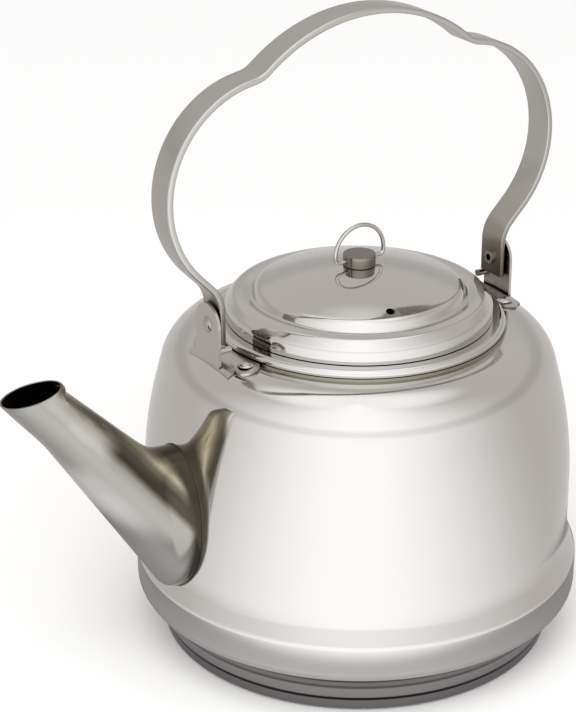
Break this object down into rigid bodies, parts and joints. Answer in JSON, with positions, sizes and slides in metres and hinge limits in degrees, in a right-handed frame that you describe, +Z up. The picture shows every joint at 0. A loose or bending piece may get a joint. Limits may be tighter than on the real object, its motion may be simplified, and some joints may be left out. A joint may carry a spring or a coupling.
{
  "type": "camping kettle",
  "caption": "Round stainless steel camping kettle with a lift-off lid, a wire ring on its knob, a folding bail handle and a tapered spout.",
  "frame": {"origin": "centre of the base, on the table", "axes": "+Z up along the kettle's axis, +X towards the spout, +Y to the left when the spout points away"},
  "size_m": [0.2621, 0.1924, 0.2754],
  "materials": {
    "polished_steel": "mirror-polished stainless steel",
    "satin_steel": "satin stainless steel",
    "rivet_steel": "bright rivet steel",
    "inner_steel": "plain mill finish, out of sight",
    "disc_aluminium": "plain"
  },
  "bodies": {
    "kettle": {"body_shell": "polished_steel", "neck_ring": "polished_steel", "floor_pan": "inner_steel", "heat_disc": "disc_aluminium", "base_cap": "polished_steel", "spout": "polished_steel", "front_bracket": "polished_steel", "rear_bracket": "polished_steel", "front_flange_rivets": "rivet_steel", "rear_flange_rivets": "rivet_steel", "front_burr_washers": "inner_steel", "rear_burr_washers": "inner_steel", "front_stop_stud": "rivet_steel", "rear_stop_stud": "rivet_steel", "front_pivot_rivet": "rivet_steel", "rear_pivot_rivet": "rivet_steel", "front_pivot_washer": "rivet_steel", "rear_pivot_washer": "rivet_steel"},
    "handle": {"handle_strip": "satin_steel"},
    "lid": {"lid_shell": "polished_steel", "lid_collar": "polished_steel", "knob": "polished_steel", "knob_screw": "inner_steel", "knob_washer": "inner_steel"},
    "ring": {"wire_ring": "polished_steel"}
  },
  "joints": [
    {"name": "handle_fold", "type": "hinge", "parent": "kettle", "child": "handle", "pos_m": [0, 0, 0.154], "axis": [1, 0, 0], "range_deg": [-97, 97]},
    {"name": "lid_lift", "type": "slide", "parent": "kettle", "child": "lid", "axis": [0, 0, 1], "range_m": [0, 0.06]},
    {"name": "ring_swing", "type": "hinge", "parent": "lid", "child": "ring", "pos_m": [0, 0, 0.16725], "axis": [1, 0, 0], "range_deg": [-95, 95]}
  ]
}
